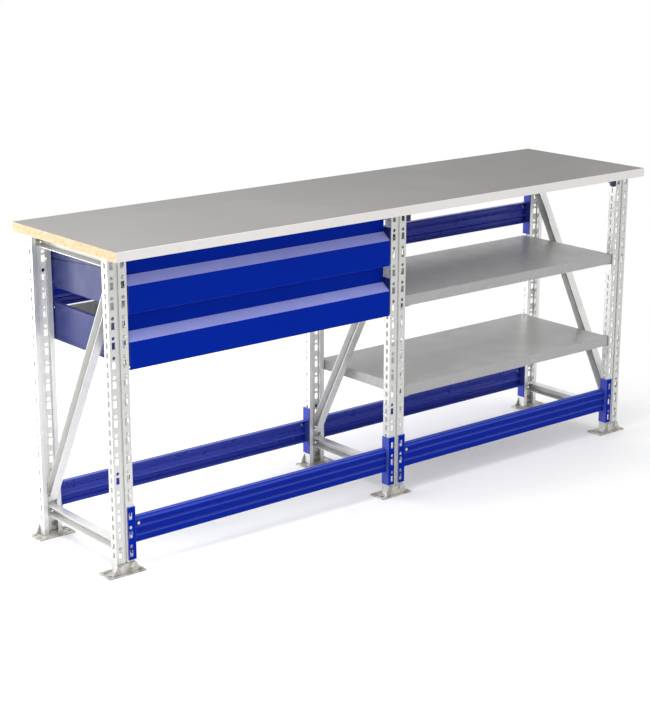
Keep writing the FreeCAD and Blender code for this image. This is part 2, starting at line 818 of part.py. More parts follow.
def make_drawer_front(name, base):
    """Front with a full-width grip and two gussets that carry the tray."""
    body = new_body(name + "_fold")
    sketch = new_sketch(body, name + "_section", "YZ_Plane")
    front_outline(sketch)
    pad(body, sketch, DRAWER_WIDTH)
    place(body, f"{DRAWER_BAY} - {DRAWER_WIDTH} / 2", FRONT_FACE, base)
    pieces = [body]
    for side in (-1, 1):
        x = f"{DRAWER_BAY} + {side} * ({TRAY_WIDTH} / 2 - drawer_sheet / 2) - drawer_sheet / 2"
        pieces.append(box(
            f"{name}_gusset_{'left' if side < 0 else 'right'}",
            ("drawer_sheet", "grip_depth", "drawer_face - 2 * drawer_sheet"),
            (x, f"{FRONT_FACE} + drawer_sheet", f"{base} + drawer_sheet")))
    return keep(fuse(name + "_whole", pieces), name)


def make_tray(name, base):
    """Open sheet-steel box."""
    body = new_body(name + "_body")
    rim = new_sketch(body, name + "_outline", "XY_Plane")
    rectangle(rim, "0", "tray_depth / 2", TRAY_WIDTH, "tray_depth")
    pad(body, rim, "tray_height")
    hollow = new_sketch(body, name + "_hollow", "XY_Plane")
    bind(hollow, ".AttachmentOffset.Base.z", "tray_height")
    rectangle(hollow, "0", "tray_depth / 2",
              f"{TRAY_WIDTH} - 2 * drawer_sheet", "tray_depth - 2 * drawer_sheet")
    pocket(body, hollow, "tray_height - drawer_sheet")
    place(body, DRAWER_BAY, TRAY_FRONT, f"{base} + tray_lift")
    return keep(body, name)


def bay_box(name, side, near, far, y, z):
    """Box beside one end upright of the drawer bay, between two distances from it."""
    start = f"{DRAWER_BAY} + {side} * ({BAY_CLEAR} / 2 - {far if side > 0 else near})"
    size = (f"{far} - {near}", f"{y[1]} - {y[0]}", f"{z[1]} - {z[0]}")
    return box(name, size, (start, y[0], z[0]))


def make_side_plate(name, base, side, level):
    """Fixed plate between the uprights that carries one pair of slide members.

    Its front tab lies on the upright; behind the tab it steps inwards, so that it
    clears the end connector of the rear beam, and it is notched around that beam.
    """
    wall = "side_plate_wall"
    low = f"({base} + side_plate_lift)"
    high = f"({low} + side_plate_height)"
    front_end = f"({FRONT_FACE} + side_plate_end_gap)"
    rear_end = f"({REAR_FACE} - side_plate_end_gap)"
    step = f"({front_end} + side_plate_tab)"
    notch = f"({REAR_FACE} - beam_setback - beam_flange - beam_notch_gap)"
    inner = f"({PLATE_OFFSET} + {wall})"
    lip = f"({inner} + side_plate_lip)"
    pieces = [
        bay_box(name + "_tab", side, "0", wall, (front_end, step), (low, high)),
        bay_box(name + "_step", side, "0", inner,
                (f"({step} - {wall})", step), (low, high)),
        bay_box(name + "_web", side, PLATE_OFFSET, inner,
                (f"({step} - {wall})", rear_end), (low, high)),
        bay_box(name + "_low_lip", side, PLATE_OFFSET, lip, (step, notch),
                (low, f"({low} + {wall})")),
        bay_box(name + "_high_lip", side, PLATE_OFFSET, lip, (step, notch),
                (f"({high} - {wall})", high)),
    ]
    beam_low = f"({connector_base(UPPER_BEAM_SLOT)} + beam_in_connector)"
    tools = [bay_box(name + "_beam_notch", side, "0", f"(2 * {inner})",
                     (notch, f"({REAR_FACE} + side_plate_end_gap)"),
                     (f"({beam_low} - beam_notch_gap)",
                      f"({beam_low} + beam_height + beam_notch_gap)"))]
    for index, (y, z) in enumerate(plate_bolt_spots(base, level)):
        x = f"{DRAWER_BAY} + {side} * {BAY_CLEAR} / 2 - 2 * {inner}"
        tools.append(rod(f"{name}_hole_{index}", "plate_bolt_radius", f"4 * {inner}",
                         (x, y, z), "x"))
    return keep(cut(name + "_drilled", fuse(name + "_folded", pieces), *tools), name)


def plate_bolt_spots(base, level):
    """Side slots that take the plate's bolts: two in front, one behind.

    The rear bolt stays clear of the rear beam's connector, above it for the upper
    drawer (level 0) and below it for the lower one.
    """
    first = "(foot_thickness + slot_start)"
    lowest = f"ceil(({base} + side_plate_lift + plate_bolt_edge - {first}) / (slot_pitch / 2))"
    front = "(-frame_depth / 2 + side_slot_inset)"
    rear = "(frame_depth / 2 - side_slot_inset)"
    rows = ((front, 0), (front, 1), (rear, 2 if level == 0 else 0))
    return [(y, f"({first} + ({lowest} + {rise}) * (slot_pitch / 2))") for y, rise in rows]


def make_plate_bolt(name, side, y, z, at_rear):
    """Low-headed bolt and nut; the rear one has a spacer under the plate."""
    plate = f"({PLATE_OFFSET} + side_plate_wall)" if at_rear else "side_plate_wall"

    def along(tag, radius, near, far, maker=rod):
        """A round piece between two distances from the upright's inner face."""
        x = f"{DRAWER_BAY} + {side} * ({BAY_CLEAR} / 2 - {far if side > 0 else near})"
        return maker(name + tag, radius, f"{far} - {near}", (x, y, z), "x")

    nut_far = "(-upright_wall)"
    nut_near = "(-upright_wall - plate_nut)"
    pieces = [
        along("_head", "plate_bolt_head_radius", plate, f"({plate} + plate_bolt_head)"),
        along("_shank", "plate_bolt_radius", nut_near, plate),
        along("_nut", "plate_nut_radius", nut_near, nut_far, hexagon),
    ]
    if at_rear:
        pieces.append(along("_spacer", "plate_bolt_head_radius", "0", PLATE_OFFSET))
    return fuse(name, pieces)


def make_plate_bolts():
    """Bolts of the four side plates."""
    bolts = []
    for level in (0, 1):
        for side in (-1, 1):
            for index, (y, z) in enumerate(plate_bolt_spots(drawer_base(level), level)):
                name = f"plate_bolt_{level}_{'l' if side < 0 else 'r'}_{index}"
                bolts.append(make_plate_bolt(name, side, y, z, index == 2))
    keep(group("plate_bolt_set", bolts), "side_plate_bolts")


def slide_member(name, side, base, near, far, tall, web_near):
    """Channel of a slide: it lies between two distances from the side plate."""
    body = new_body(name)
    sketch = new_sketch(body, name + "_section", "XZ_Plane")
    wall = "slide_wall"
    high = f"{tall} / 2"
    back, mouth = (near, far) if web_near else (far, near)
    turned = 1 if web_near else -1
    inner = f"{back} + {turned} * {wall}"

    def across(text):
        return f"{-side} * ({text})"

    outline(sketch, [
        (across(back), f"-{high}"),
        (across(mouth), f"-{high}"),
        (across(mouth), f"-{high} + {wall}"),
        (across(inner), f"-{high} + {wall}"),
        (across(inner), f"{high} - {wall}"),
        (across(mouth), f"{high} - {wall}"),
        (across(mouth), high),
        (across(back), high),
    ])
    pad(body, sketch, "slide_length", backwards=True)
    place(body, f"{DRAWER_BAY} + {side} * {PLATE_FACE}",
          TRAY_FRONT, f"{base} + tray_lift + tray_height / 2")
    return body


def make_slides(drawer, base):
    """Three nested members on each side of a drawer."""
    step = "(2 * slide_wall + 2 * slide_ball_gap)"
    members = {
        "fixed_rails": ("0", "slide_width - fixed_rail_inset", "slide_height", True),
        "middle_members": ("slide_wall + slide_run_gap", "slide_width - middle_member_inset",
                           f"(slide_height - {step})", True),
        "drawer_rails": ("drawer_rail_inset", "slide_width", f"(slide_height - 2 * {step})", False),
    }
    for tag, (near, far, tall, web_near) in members.items():
        pair = [slide_member(f"{drawer}_{tag}_{'l' if side < 0 else 'r'}", side, base,
                             near, far, tall, web_near) for side in (-1, 1)]
        keep(group(f"{drawer}_{tag}_pair", pair), f"{drawer}_{tag}")


def make_drawers():
    for level, drawer in enumerate(("upper_drawer", "lower_drawer")):
        base = drawer_base(level)
        make_drawer_front(drawer + "_front", base)
        make_tray(drawer + "_tray", base)
        make_side_plate(drawer + "_left_side_plate", base, -1, level)
        make_side_plate(drawer + "_right_side_plate", base, 1, level)
        make_slides(drawer, base)
    make_plate_bolts()


# ---------------------------------------------------------------- shelves

SHELF_WIDTH = f"({BAY_CLEAR} - 2 * shelf_end_gap)"
SHELF_DEPTH = "(frame_depth - 2 * shelf_setback)"


def make_shelf(name, height):
    """Steel tray turned upside down, with returns along its front and rear lips."""
    body = new_body(name + "_body")
    top = new_sketch(body, name + "_outline", "XY_Plane")
    rectangle(top, "0", "0", SHELF_WIDTH, SHELF_DEPTH)
    pad(body, top, "shelf_lip")
    hollow = new_sketch(body, name + "_hollow", "XY_Plane")
    bind(hollow, ".AttachmentOffset.Base.z", "shelf_sheet")
    rectangle(hollow, "0", "0",
              f"{SHELF_WIDTH} - 2 * shelf_sheet", f"{SHELF_DEPTH} - 2 * shelf_sheet")
    pocket(body, hollow, "shelf_lip - 2 * shelf_sheet", backwards=True)
    mouth = new_sketch(body, name + "_mouth", "XY_Plane")
    rectangle(mouth, "0", "0",
              f"{SHELF_WIDTH} - 2 * shelf_sheet", f"{SHELF_DEPTH} - 2 * shelf_return")
    pocket(body, mouth, "shelf_sheet", backwards=True)
    place(body, BAY_CENTRE[0], "0", f"{height} - shelf_lip")
    return keep(body, name)


def make_shelf_clips():
    """Angle clips under the shelf corners, hooked into the side slots."""
    clips = []
    for shelf, height in (("low", "low_shelf_height"), ("high", "high_shelf_height")):
        for end in (-1, 1):
            for row in (-1, 1):
                name = f"{shelf}_clip_{'l' if end < 0 else 'r'}{'f' if row < 0 else 'b'}"
                clips.append(make_clip(name, height, end, row))
    keep(group("shelf_clip_set", clips), "shelf_clips")


def make_clip(name, height, end, row):
    wall = "clip_wall"
    flange = f"({BAY_CENTRE[0]} + {end} * {BAY_CLEAR} / 2)"
    y = f"({row} * (frame_depth / 2 - side_slot_inset) - clip_width / 2)"
    top = f"({height} - shelf_lip)"
    leg_x = f"{flange} - {1 if end > 0 else 0} * {wall}"
    tab_x = f"{flange} - {1 if end > 0 else 0} * clip_reach"
    leg = box(name + "_leg", (wall, "clip_width", "clip_height"), (leg_x, y, f"{top} - clip_height"))
    tab = box(name + "_tab", ("clip_reach", "clip_width", wall), (tab_x, y, f"{top} - {wall}"))
    first = "(foot_thickness + slot_start)"
    step = f"floor(({top} - hook_height - {first}) / (slot_pitch / 2))"
    hook_z = f"{first} + {step} * (slot_pitch / 2) - hook_height / 2"
    hook_x = f"{flange} - {0 if end > 0 else 1} * (upright_wall + hook_reach)"
    hook_y = f"{row} * (frame_depth / 2 - side_slot_inset) - hook_width / 2"
    hook = box(name + "_hook", ("upright_wall + hook_reach", "hook_width", "hook_height"),
               (hook_x, hook_y, hook_z))
    return fuse(name, [leg, tab, hook])


def make_shelves():
    make_shelf("lower_shelf", "low_shelf_height")
    make_shelf("upper_shelf", "high_shelf_height")
    make_shelf_clips()


# ----------------------------------------------------------------- output

def check_model():
    """Stops if any object failed or any sub-part has a bad shape."""
    document.recompute()
    for item in document.Objects:
        if "Invalid" in item.State or "Error" in item.State:
            raise RuntimeError(f"{item.Name} failed: {item.State}")
    for item in sub_parts:
        if item.Shape.isNull() or not item.Shape.isValid() or not item.Shape.Solids:
            raise RuntimeError(f"{item.Label} has a bad shape")


def write_parts():
    os.makedirs("parts", exist_ok=True)
    for item in sub_parts:
        item.Shape.exportStep(os.path.join("parts", item.Label + ".step"))


fill_sheet()
make_worktop()
make_worktop_brackets()
make_frames()
make_beams()
make_drawers()
make_shelves()
check_model()
write_parts()
print(len(sub_parts), "sub-parts written")
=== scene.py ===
"""Looks of the workbench: finishes for every sub-part, softened folds and detailed fasteners.

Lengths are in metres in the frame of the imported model: X to the right along the bench,
Y from the front to the rear, Z up from the floor.
"""
import json
import math

import bmesh
import bpy
from mathutils import Matrix, Vector


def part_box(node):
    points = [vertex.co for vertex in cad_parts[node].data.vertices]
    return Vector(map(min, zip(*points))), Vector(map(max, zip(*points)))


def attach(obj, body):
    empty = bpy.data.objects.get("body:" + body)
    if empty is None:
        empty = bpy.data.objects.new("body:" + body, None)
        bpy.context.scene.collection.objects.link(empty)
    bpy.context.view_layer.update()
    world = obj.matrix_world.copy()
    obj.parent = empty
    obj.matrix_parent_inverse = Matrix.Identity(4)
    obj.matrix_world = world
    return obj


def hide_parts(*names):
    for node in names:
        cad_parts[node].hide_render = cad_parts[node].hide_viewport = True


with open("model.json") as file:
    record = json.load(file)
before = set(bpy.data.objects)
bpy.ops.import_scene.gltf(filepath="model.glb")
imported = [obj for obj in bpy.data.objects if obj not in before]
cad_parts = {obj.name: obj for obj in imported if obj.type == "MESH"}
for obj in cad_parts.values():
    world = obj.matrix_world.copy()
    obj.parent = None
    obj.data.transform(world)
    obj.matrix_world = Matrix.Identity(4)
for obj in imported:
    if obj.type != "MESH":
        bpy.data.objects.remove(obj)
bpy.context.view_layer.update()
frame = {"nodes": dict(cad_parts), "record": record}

MM = 0.001

# Shared settings of the shader nodes.
NOISE_ROUGHNESS = 0.55
SHELTER_SAMPLES = 4
MIX_SHARE = 0
MIX_LOW = 6
MIX_HIGH = 7
MIX_COLOUR = 2


# ---------------------------------------------------------------- shader sums


def tint(red, green, blue):
    """A paint-chart colour, 0 to 255 a channel, as the light that it sends back."""
    channels = [c / 255 for c in (red, green, blue)]
    linear = [c / 12.92 if c <= 0.04045 else ((c + 0.055) / 1.055) ** 2.4 for c in channels]
    return (*linear, 1.0)


class Flow:
    """A value in a finish. A sum written with it adds its Math node."""

    def __init__(self, finish, socket):
        self.finish = finish
        self.socket = socket

    def __add__(self, other):
        return self.finish.math("ADD", self, other)

    __radd__ = __add__

    def __sub__(self, other):
        return self.finish.math("SUBTRACT", self, other)

    def __rsub__(self, other):
        return self.finish.math("SUBTRACT", other, self)

    def __mul__(self, other):
        return self.finish.math("MULTIPLY", self, other)

    __rmul__ = __mul__


class Finish:
    """One material, built round its Principled shader."""

    def __init__(self, name, constants):
        self.material = bpy.data.materials.new(name)
        self.material.use_nodes = True
        self.tree = self.material.node_tree
        self.shader = self.tree.nodes["Principled BSDF"]
        for socket, value in constants.items():
            self.shader.inputs[socket].default_value = value
        self.place = self.node("TexCoord", {}, {}, "Object")

    def node(self, kind, settings, values, out=0):
        """Adds a node: its settings first, then the values or links of its sockets."""
        node = self.tree.nodes.new("ShaderNode" + kind)
        for name, setting in settings.items():
            if name == "stops":
                for stop, (spot, colour) in zip(node.color_ramp.elements, setting):
                    stop.position = spot
                    stop.color = colour
            else:
                setattr(node, name, setting)
        for socket, value in values.items():
            self.feed(node.inputs[socket], value)
        return Flow(self, node.outputs[out])

    def feed(self, socket, value):
        if isinstance(value, Flow):
            self.tree.links.new(value.socket, socket)
        elif socket.type == "VECTOR":
            socket.default_value = value[:3]
        else:
            socket.default_value = value

    def math(self, operation, first, second):
        return self.node("Math", {"operation": operation}, {0: first, 1: second})

    def blend(self, share, low, high):
        """The low colour, turned into the high one by a share from 0 to 1."""
        colours = {MIX_SHARE: share, MIX_LOW: low, MIX_HIGH: high}
        return self.node("Mix", {"data_type": "RGBA"}, colours, MIX_COLOUR)

    def shade(self, colour, factor):
        """A colour made lighter or darker by a value round 1."""
        return self.node("VectorMath", {"operation": "SCALE"}, {0: colour, 3: factor})

    def stretched(self, scale):
        """The place on the piece, scaled along X, Y and Z."""
        return self.node("VectorMath", {"operation": "MULTIPLY"}, {0: self.place, 1: scale})

    def noise(self, scale, detail, at=None):
        return self.node("TexNoise", {}, {
            "Vector": at or self.place, "Scale": scale, "Detail": detail,
            "Roughness": NOISE_ROUGHNESS})

    def cells(self, scale, at=None, out="Color"):
        return self.node("TexVoronoi", {}, {"Vector": at or self.place, "Scale": scale}, out)

    def between(self, value, low, high, new_low=0.0, new_high=1.0):
        """Maps low..high smoothly onto a new range, held at its ends."""
        return self.node("MapRange", {"interpolation_type": "SMOOTHSTEP"}, {
            0: value, 1: low, 2: high, 3: new_low, 4: new_high})

    def part(self, vector, letter):
        return self.node("SeparateXYZ", {}, {0: vector}, letter)

    def facing(self, letter):
        """How far the surface faces along an axis, from -1 to 1."""
        return self.part(self.node("NewGeometry", {}, {}, "Normal"), letter)

    def edges(self, reach):
        """About 1 along outer edges and folds, 0 on the flat."""
        rounded = self.node("Bevel", {"samples": SHELTER_SAMPLES}, {"Radius": reach})
        plain = self.node("NewGeometry", {}, {}, "Normal")
        both = {0: rounded, 1: plain}
        match = self.node("VectorMath", {"operation": "DOT_PRODUCT"}, both, "Value")
        return self.between(match, 0.99, 0.80)

    def crevice(self, reach):
        """About 1 deep in grooves, slots and inner corners, 0 in the open."""
        settings = {"samples": SHELTER_SAMPLES}
        shelter = self.node("AmbientOcclusion", settings, {"Distance": reach}, "AO")
        return self.between(shelter, 0.85, 0.30)

    def bump(self, height, depth, strength):
        return self.node("Bump", {}, {"Height": height, "Distance": depth, "Strength": strength})

    def finished(self, **links):
        for socket, value in links.items():
            self.feed(self.shader.inputs[socket.replace("_", " ")], value)
        return self.material


# ---------------------------------------------------------------- finishes

SKIN_RELIEF = 0.05 * MM


def powder_coat(name, colour, sheen_rough, fold_highlight_share, painted_reflection, gloss):
    """Stove-enamelled sheet: fine orange peel, a painted highlight along the folds, and a painted
    pale reflection.

    The painted reflection is strong on what faces up and faint on what faces left; creases get
    painted shade.
    """
    finish = Finish(name, {"Specular IOR Level": gloss})
    reflection_colour, reflection_share = painted_reflection
    clouds = finish.noise(3.0, 4.0)
    patches = finish.noise(17.0, 5.0)
    peel = finish.noise(750.0, 2.0)
    grain = finish.noise(2600.0, 1.0)
    tone = finish.between(clouds + patches * 0.3, 0.4, 0.9, 0.96, 1.04)
    # Painted shade: the coat is darkened in grooves, slots and inner corners.
    tone = tone - finish.crevice(12 * MM) * 0.45
    folds = finish.edges(1.3 * MM)
    coat = finish.shade(colour, tone)
    # Painted reflection: surfaces facing up, and faintly those facing left, are blended toward a
    # pale colour standing for the bright surroundings.
    upward = finish.between(finish.facing("Z"), 0.35, 0.8)
    leftward = finish.between(finish.facing("X"), -0.6, -0.95) * 0.2
    reflection_mask = (upward + leftward) * finish.between(patches + clouds, 0.6, 1.4, 0.9, 1.0)
    coat = finish.blend(reflection_mask * reflection_share, coat, reflection_colour)
    # Painted highlight: folds and edges are blended toward a pale blue, varied along their length.
    fold_highlight = folds * finish.between(finish.noise(60.0, 6.0), 0.45, 0.68, 0.55, 1.0)
    coat = finish.blend(fold_highlight * fold_highlight_share, coat, tint(150, 158, 214))
    rough = finish.between(patches, 0.3, 0.7, sheen_rough - 0.04, sheen_rough + 0.05)
    normal = finish.bump(peel + grain * 0.35, SKIN_RELIEF, 0.5)
    return finish.finished(Base_Color=coat, Roughness=rough + reflection_mask * 0.1, Normal=normal)


def galvanised(name, colour, rough, grime, inside_painted_light, folds):
    """Zinc-coated strip: small spangle, rolling streaks, pale bloom and dull marks.

    Deep inside a profile the colour is swapped for a painted lighter or darker tone standing for
    the light there; grooves get painted shade, and folds and cut edges a painted dark reflection.
    """
    finish = Finish(name, {"Specular IOR Level": 0.5})
    spangle = finish.part(finish.cells(210.0), "X")
    fine = finish.part(finish.cells(620.0), "X")
    streaks = finish.noise(9.0, 5.0, finish.stretched((14.0, 14.0, 0.8)))
    bloom = finish.between(finish.noise(22.0, 6.0), 0.48, 0.72)
    low = finish.between(finish.part(finish.place, "Z"), 0.0, 0.06, 1.0, 0.0)
    dirt = low * finish.between(finish.noise(45.0, 5.0), 0.35, 0.7) * grime
    tone = 0.93 + spangle * 0.06 + fine * 0.03 + (streaks - 0.5) * 0.14
    # Painted light: deep inside a profile the zinc is blended toward its own lighter or darker
    # colour, for how lit the inside is.
    sheltered = finish.crevice(45 * MM)
    zinc = finish.blend(sheltered, finish.shade(colour, tone), inside_painted_light)
    # Painted shade: grooves, slots and tight corners are darkened.
    zinc = finish.shade(zinc, 1.0 - finish.crevice(5 * MM) * 0.7)
    zinc = finish.blend(bloom * 0.2, zinc, tint(214, 216, 216))
    zinc = finish.blend(dirt, zinc, tint(112, 104, 94))
    # Painted dark reflection along folds and cut edges.
    zinc = finish.blend(finish.edges(1.5 * MM) * folds, zinc, tint(96, 95, 92))
    roughness = rough + spangle * 0.1 + bloom * 0.12 + dirt * 0.25 + sheltered * 0.2
    metal = finish.between(bloom * 0.6 + dirt * 2.0 + sheltered, 0.0, 1.4, 0.6, 0.15)
    normal = finish.bump(spangle * 0.5 + streaks + fine * 0.3, SKIN_RELIEF, 0.6)
    return finish.finished(Base_Color=zinc, Roughness=roughness, Metallic=metal, Normal=normal)


def bright_zinc(name, colour, rough, along):
    """Plated steel with drawn lines along one direction and a faint yellow bloom."""
    finish = Finish(name, {"Specular IOR Level": 0.5})
    lines = finish.noise(60.0, 4.0, finish.stretched(along))
    bloom = finish.between(finish.noise(120.0, 4.0), 0.45, 0.7)
    zinc = finish.blend(bloom * 0.5, finish.shade(colour, 0.9 + lines * 0.2), tint(205, 200, 178))
    # Painted highlight: edges are blended toward near white.
    zinc = finish.blend(finish.edges(0.5 * MM) * 0.4, zinc, tint(240, 240, 238))
    normal = finish.bump(lines, 0.03 * MM, 0.5)
    return finish.finished(Base_Color=zinc, Roughness=rough + bloom * 0.12 + lines * 0.1,
                           Metallic=finish.between(bloom, 0.0, 1.0, 1.0, 0.85), Normal=normal)


def laminate(name):
    """Matt high-pressure laminate: fine fleck, broad mottling, faint hand wear and scratches."""
    finish = Finish(name, {"Specular IOR Level": 0.05})
    across = finish.stretched((1.0, 22.0, 1.0))
    along = finish.stretched((18.0, 1.2, 1.0))
    fleck = finish.noise(950.0, 2.0)
    mottle = finish.noise(4.0, 5.0)
    spots = finish.between(finish.cells(420.0, out="Distance"), 0.0, 0.12, 1.0, 0.0)
    scratches = finish.between(finish.noise(40.0, 3.0, across), 0.69, 0.74)
    marks = finish.between(finish.noise(26.0, 4.0, along), 0.70, 0.75)
    wear = finish.between(finish.noise(2.2, 3.0), 0.42, 0.7)
    tone = 0.97 + (fleck - 0.5) * 0.18 + (mottle - 0.5) * 0.10
    top = finish.shade(tint(124, 123, 121), tone)
    top = finish.blend(spots * 0.25, top, tint(120, 117, 115))
    top = finish.blend((scratches + marks) * 0.16, top, tint(205, 202, 198))
    # Painted highlight: edges are blended toward pale grey.
    top = finish.blend(finish.edges(1.0 * MM) * 0.5, top, tint(206, 203, 199))
    rough = 0.44 - wear * 0.09 + (fleck - 0.5) * 0.1 + scratches * 0.08
    normal = finish.bump(fleck - scratches * 0.5 - marks * 0.5, SKIN_RELIEF, 0.5)
    return finish.finished(Base_Color=top, Roughness=rough, Normal=normal)


def edging(name):
    """Thin plastic edging: almost white, faint cutter ripple and a few dull knocks."""
    finish = Finish(name, {"Specular IOR Level": 0.5})
    ripple = finish.noise(130.0, 2.0, finish.stretched((1.0, 0.3, 0.05)))
    knocks = finish.between(finish.noise(70.0, 5.0), 0.62, 0.72)
    soft = finish.noise(6.0, 4.0)
    strip = finish.shade(tint(216, 213, 211), 0.96 + soft * 0.08)
    strip = finish.blend(knocks * 0.15, strip, tint(170, 166, 162))
    strip = finish.blend(finish.edges(0.8 * MM) * 0.3, strip, tint(206, 202, 198))
    rough = 0.34 + knocks * 0.25 + soft * 0.08
    normal = finish.bump(ripple - knocks * 0.4, SKIN_RELIEF, 0.5)
    return finish.finished(Base_Color=strip, Roughness=rough, Normal=normal)


def chipboard(name):
    """Cut chipboard, coarse in the middle and fine near both faces, with a sheet below."""
    finish = Finish(name, {"Specular IOR Level": 0.2})
    chips = finish.stretched((130.0, 90.0, 420.0))
    coarse = finish.cells(1.0, chips)
    gap = finish.cells(1.0, chips, "Distance")
    fine = finish.cells(1.0, finish.stretched((420.0, 380.0, 1300.0)))
    fibre = finish.noise(1.0, 4.0, finish.stretched((900.0, 260.0, 2400.0)))
    height = finish.part(finish.place, "Z")
    lowest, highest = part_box("worktop_board")
    skin = 5.0 * MM
    faces = (finish.between(height, highest.z - skin, highest.z - skin / 2)
             + finish.between(height, lowest.z + skin, lowest.z + skin / 2))
    large_chips = ((0.0, tint(206, 166, 130)), (1.0, tint(230, 198, 164)))
    small_chips = ((0.0, tint(212, 176, 140)), (1.0, tint(232, 204, 172)))
    wood = finish.node("ValToRGB", {"stops": large_chips}, {0: finish.part(coarse, "X")})
    small = finish.node("ValToRGB", {"stops": small_chips}, {0: finish.part(fine, "Y")})
    wood = finish.blend(faces * 0.8 + 0.15, wood, small)
    dark = finish.between(finish.part(coarse, "Z"), 0.86, 0.9)
    wood = finish.blend(dark * 0.35, wood, tint(168, 118, 74))
    wood = finish.blend(finish.between(gap, 0.45, 0.8) * 0.25, wood, tint(176, 130, 84))
    backing = finish.between(finish.facing("Z"), -0.9, -0.98)
    wood = finish.blend(backing, wood, finish.shade(tint(190, 187, 182), 0.9 + fibre * 0.2))
    wood = finish.shade(wood, 0.92 + fibre * 0.14)
    normal = finish.bump(finish.part(coarse, "Y") * 0.6 - gap + fibre * 0.5, 0.35 * MM, 0.6)
    return finish.finished(Base_Color=wood, Roughness=0.7 + fibre * 0.2, Normal=normal)


UP_AND_DOWN = (30.0, 30.0, 1.0)
FRONT_TO_BACK = (30.0, 1.0, 30.0)

BLUE = tint(0, 34, 146)
# Colours and shares of the painted reflection on surfaces facing up or left.
BLUE_PAINTED_REFLECTION = (tint(158, 164, 230), 0.95)
BEAM_PAINTED_REFLECTION = (tint(92, 112, 222), 0.4)
PLATE_PAINTED_REFLECTION = (tint(120, 126, 190), 0.25)
GREY_PAINTED_REFLECTION = (tint(150, 149, 147), 0.3)

FINISHES = {
    "raw_chipboard": chipboard("raw_chipboard"),
    "grey_laminate": laminate("grey_laminate"),
    "pale_edging": edging("pale_edging"),
    "dark_bracket_steel": powder_coat(
        "dark_bracket_steel", tint(30, 34, 70), 0.42, 0.5, GREY_PAINTED_REFLECTION, 0.3),
    "zinc_fastener": bright_zinc("zinc_fastener", tint(196, 194, 186), 0.26, UP_AND_DOWN),
    "blue_powder_coat": powder_coat("blue_powder_coat", BLUE, 0.36, 0.7, BLUE_PAINTED_REFLECTION, 0.02),
    "slide_steel": bright_zinc("slide_steel", tint(202, 203, 204), 0.22, FRONT_TO_BACK),
    "grey_drawer_steel": powder_coat(
        "grey_drawer_steel", tint(246, 247, 242), 0.4, 0.5, (tint(196, 195, 190), 0.4), 0.4),
    "grey_powder_coat": powder_coat(
        "grey_powder_coat", tint(161, 160, 160), 0.24, 0.4, GREY_PAINTED_REFLECTION, 0.5),
    "galvanised_foot": galvanised(
        "galvanised_foot", tint(200, 198, 193), 0.36, 0.8, tint(215, 212, 206), 0.6),
    "galvanised_steel": galvanised(
        "galvanised_steel", tint(203, 204, 201), 0.30, 0.5, tint(243, 243, 240), 0.75),
}
# Lit and shaded copies: braces, rear uprights and rear beams are painted lighter, side plates and
# the front lower beam darker, for the light on them.
BRACE_LIT_COPY = galvanised(
    "galvanised_brace_lit_copy", tint(232, 232, 230), 0.3, 0.5, tint(212, 212, 210), 0.6)
REAR_UPRIGHT_LIT_COPY = galvanised(
    "galvanised_rear_upright_lit_copy", tint(230, 230, 228), 0.34, 0.5, tint(246, 246, 244), 0.7)
SIDE_PLATE_SHADED_COPY = powder_coat("blue_side_plate_shaded_copy", tint(4, 24, 98), 0.34, 0.4, PLATE_PAINTED_REFLECTION, 0.3)
FRONT_BEAM_SHADED_COPY = powder_coat("blue_beam", tint(0, 30, 140), 0.34, 0.8, BEAM_PAINTED_REFLECTION, 0.05)
REAR_BEAM_LIT_COPY = powder_coat("blue_rear_beam_lit_copy", tint(4, 34, 156), 0.3, 0.8, BEAM_PAINTED_REFLECTION, 0.5)

# Pieces, by the end of their name, that get a lighter or darker copy of their slot's finish,
# painted to stand for the light or shade on them.
LIT_AND_SHADED_COPIES = {
    "side_plate": SIDE_PLATE_SHADED_COPY,
    "front_lower_beam": FRONT_BEAM_SHADED_COPY,
    "rear_lower_beam": REAR_BEAM_LIT_COPY,
    "rear_upper_beam": REAR_BEAM_LIT_COPY,
    "diagonal": BRACE_LIT_COPY,
    "cross_channel": BRACE_LIT_COPY,
    "rear_upright": REAR_UPRIGHT_LIT_COPY,
}


def paint_nodes():
    """Gives every CAD sub-part the finish of its slot, or for some kinds a painted lit or shaded
    copy of it.
    """
    for row in frame["record"]["subparts"]:
        finish = FINISHES[row["material_slot"]]
        for ending, painted_copy in LIT_AND_SHADED_COPIES.items():
            if row["node"].endswith(ending):
                finish = painted_copy
        slots = frame["nodes"][row["node"]].data.materials
        slots.clear()
        slots.append(finish)


# ---------------------------------------------------------------- softened folds

# How wide the folds and cut edges are rounded, by the end of the piece's name.
FOLD_WIDTHS = {
    "drawer_front": 0.7 * MM,
    "drawer_tray": 0.5 * MM,
    "side_plate": 0.4 * MM,
    "shelf": 0.6 * MM,
    "_beam": 0.6 * MM,
    "edge_strip": 0.8 * MM,
    "_foot": 0.5 * MM,
    "brackets": 0.5 * MM,
}


def soften(node, width):
    """Rounds the folds and cut edges of a CAD sub-part by a modifier; its own mesh stays."""
    piece = frame["nodes"][node]
    weld = piece.modifiers.new("joined", "WELD")
    weld.merge_threshold = 0.005 * MM
    round_off = piece.modifiers.new("rounded", "BEVEL")
    round_off.width = width
    round_off.segments = 2
    round_off.limit_method = "ANGLE"
    round_off.angle_limit = math.radians(40)
    round_off.use_clamp_overlap = True
    even = piece.modifiers.new("evened", "WEIGHTED_NORMAL")
    even.weight = 80


def soften_all():
    for node in sorted(frame["nodes"]):
        for ending, width in FOLD_WIDTHS.items():
            if node.endswith(ending):
                soften(node, width)


# ---------------------------------------------------------------- fasteners and welds


